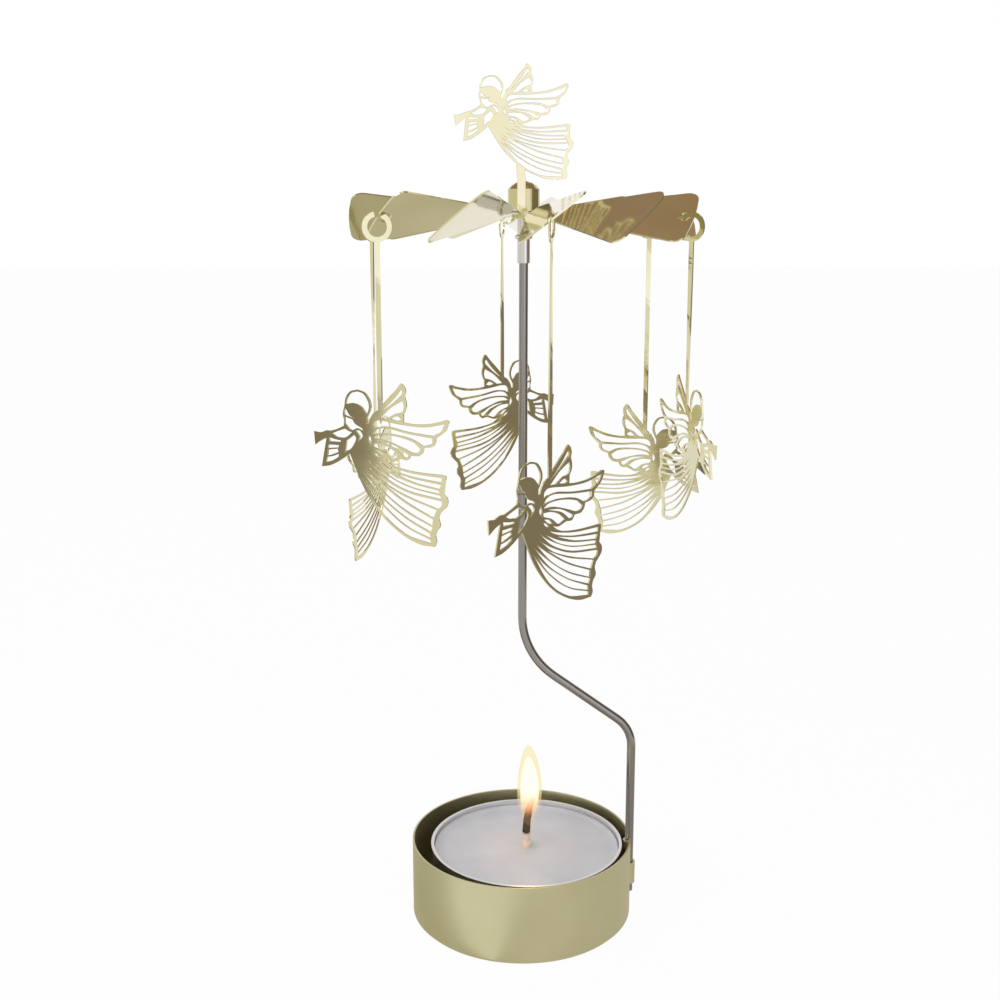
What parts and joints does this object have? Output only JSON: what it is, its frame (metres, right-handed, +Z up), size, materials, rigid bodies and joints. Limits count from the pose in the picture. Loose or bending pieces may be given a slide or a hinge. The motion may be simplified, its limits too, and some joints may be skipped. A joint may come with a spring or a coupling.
{
  "type": "rotary candle holder",
  "caption": "Rotary tealight candle holder: pierced angels hang from a bladed propeller that turns on a bent wire rod above a tin cup.",
  "frame": {"origin": "middle of the candle cup's underside, on the table", "axes": "+Z up along the propeller's axis, the rod's foot at +X, the front at -Y"},
  "size_m": [0.0752, 0.0845, 0.1663],
  "materials": {
    "cup_tin": "satin",
    "steel_wire": "drawn",
    "bright_steel": "polished",
    "tealight_aluminium": "pressed",
    "wax": "matte",
    "wick": "charred",
    "hub_brass": "turned",
    "bearing": "hardened",
    "gold_sheet": "satin"
  },
  "bodies": {
    "stand": {"candle_cup": "cup_tin", "support_rod": "steel_wire", "pivot_sleeve": "bright_steel", "pivot_needle": "bright_steel"},
    "tealight": {"tealight_cup": "tealight_aluminium", "wax": "wax", "wick": "wick", "wick_clip": "tealight_aluminium"},
    "rotor": {"hub_cap": "hub_brass", "pivot_bearing": "bearing", "retaining_ring": "hub_brass", "propeller": "gold_sheet", "top_angel": "gold_sheet"},
    "angel_pendant_front": {"angel_pendant_front": "gold_sheet"},
    "angel_pendant_right": {"angel_pendant_right": "gold_sheet"},
    "angel_pendant_back_right": {"angel_pendant_back_right": "gold_sheet"},
    "angel_pendant_back": {"angel_pendant_back": "gold_sheet"},
    "angel_pendant_back_left": {"angel_pendant_back_left": "gold_sheet"},
    "angel_pendant_left": {"angel_pendant_left": "gold_sheet"}
  },
  "joints": [
    {"name": "rotor_spin", "type": "hinge", "parent": "stand", "child": "rotor", "pos_m": [0, 0, 0.1442], "axis": [0, 0, 1], "continuous": true},
    {"name": "tealight_lift", "type": "slide", "parent": "stand", "child": "tealight", "axis": [0, 0, 1], "range_m": [0, 0.018]},
    {"name": "swing_front", "type": "hinge", "parent": "rotor", "child": "angel_pendant_front", "pos_m": [0.00395, -0.03166, 0.13908], "axis": [-0.9781, 0.2079, 0], "range_deg": [-15, 20]},
    {"name": "swing_right", "type": "hinge", "parent": "rotor", "child": "angel_pendant_right", "pos_m": [0.02939, -0.01241, 0.13908], "axis": [-0.6691, -0.7431, 0], "range_deg": [-15, 20]},
    {"name": "swing_back_right", "type": "hinge", "parent": "rotor", "child": "angel_pendant_back_right", "pos_m": [0.02544, 0.01925, 0.13908], "axis": [0.309, -0.9511, 0], "range_deg": [-15, 20]},
    {"name": "swing_back", "type": "hinge", "parent": "rotor", "child": "angel_pendant_back", "pos_m": [-0.00395, 0.03166, 0.13908], "axis": [0.9781, -0.2079, 0], "range_deg": [-15, 20]},
    {"name": "swing_back_left", "type": "hinge", "parent": "rotor", "child": "angel_pendant_back_left", "pos_m": [-0.02939, 0.01241, 0.13908], "axis": [0.6691, 0.7431, 0], "range_deg": [-15, 20]},
    {"name": "swing_left", "type": "hinge", "parent": "rotor", "child": "angel_pendant_left", "pos_m": [-0.02544, -0.01925, 0.13908], "axis": [-0.309, 0.9511, 0], "range_deg": [-15, 20]}
  ]
}
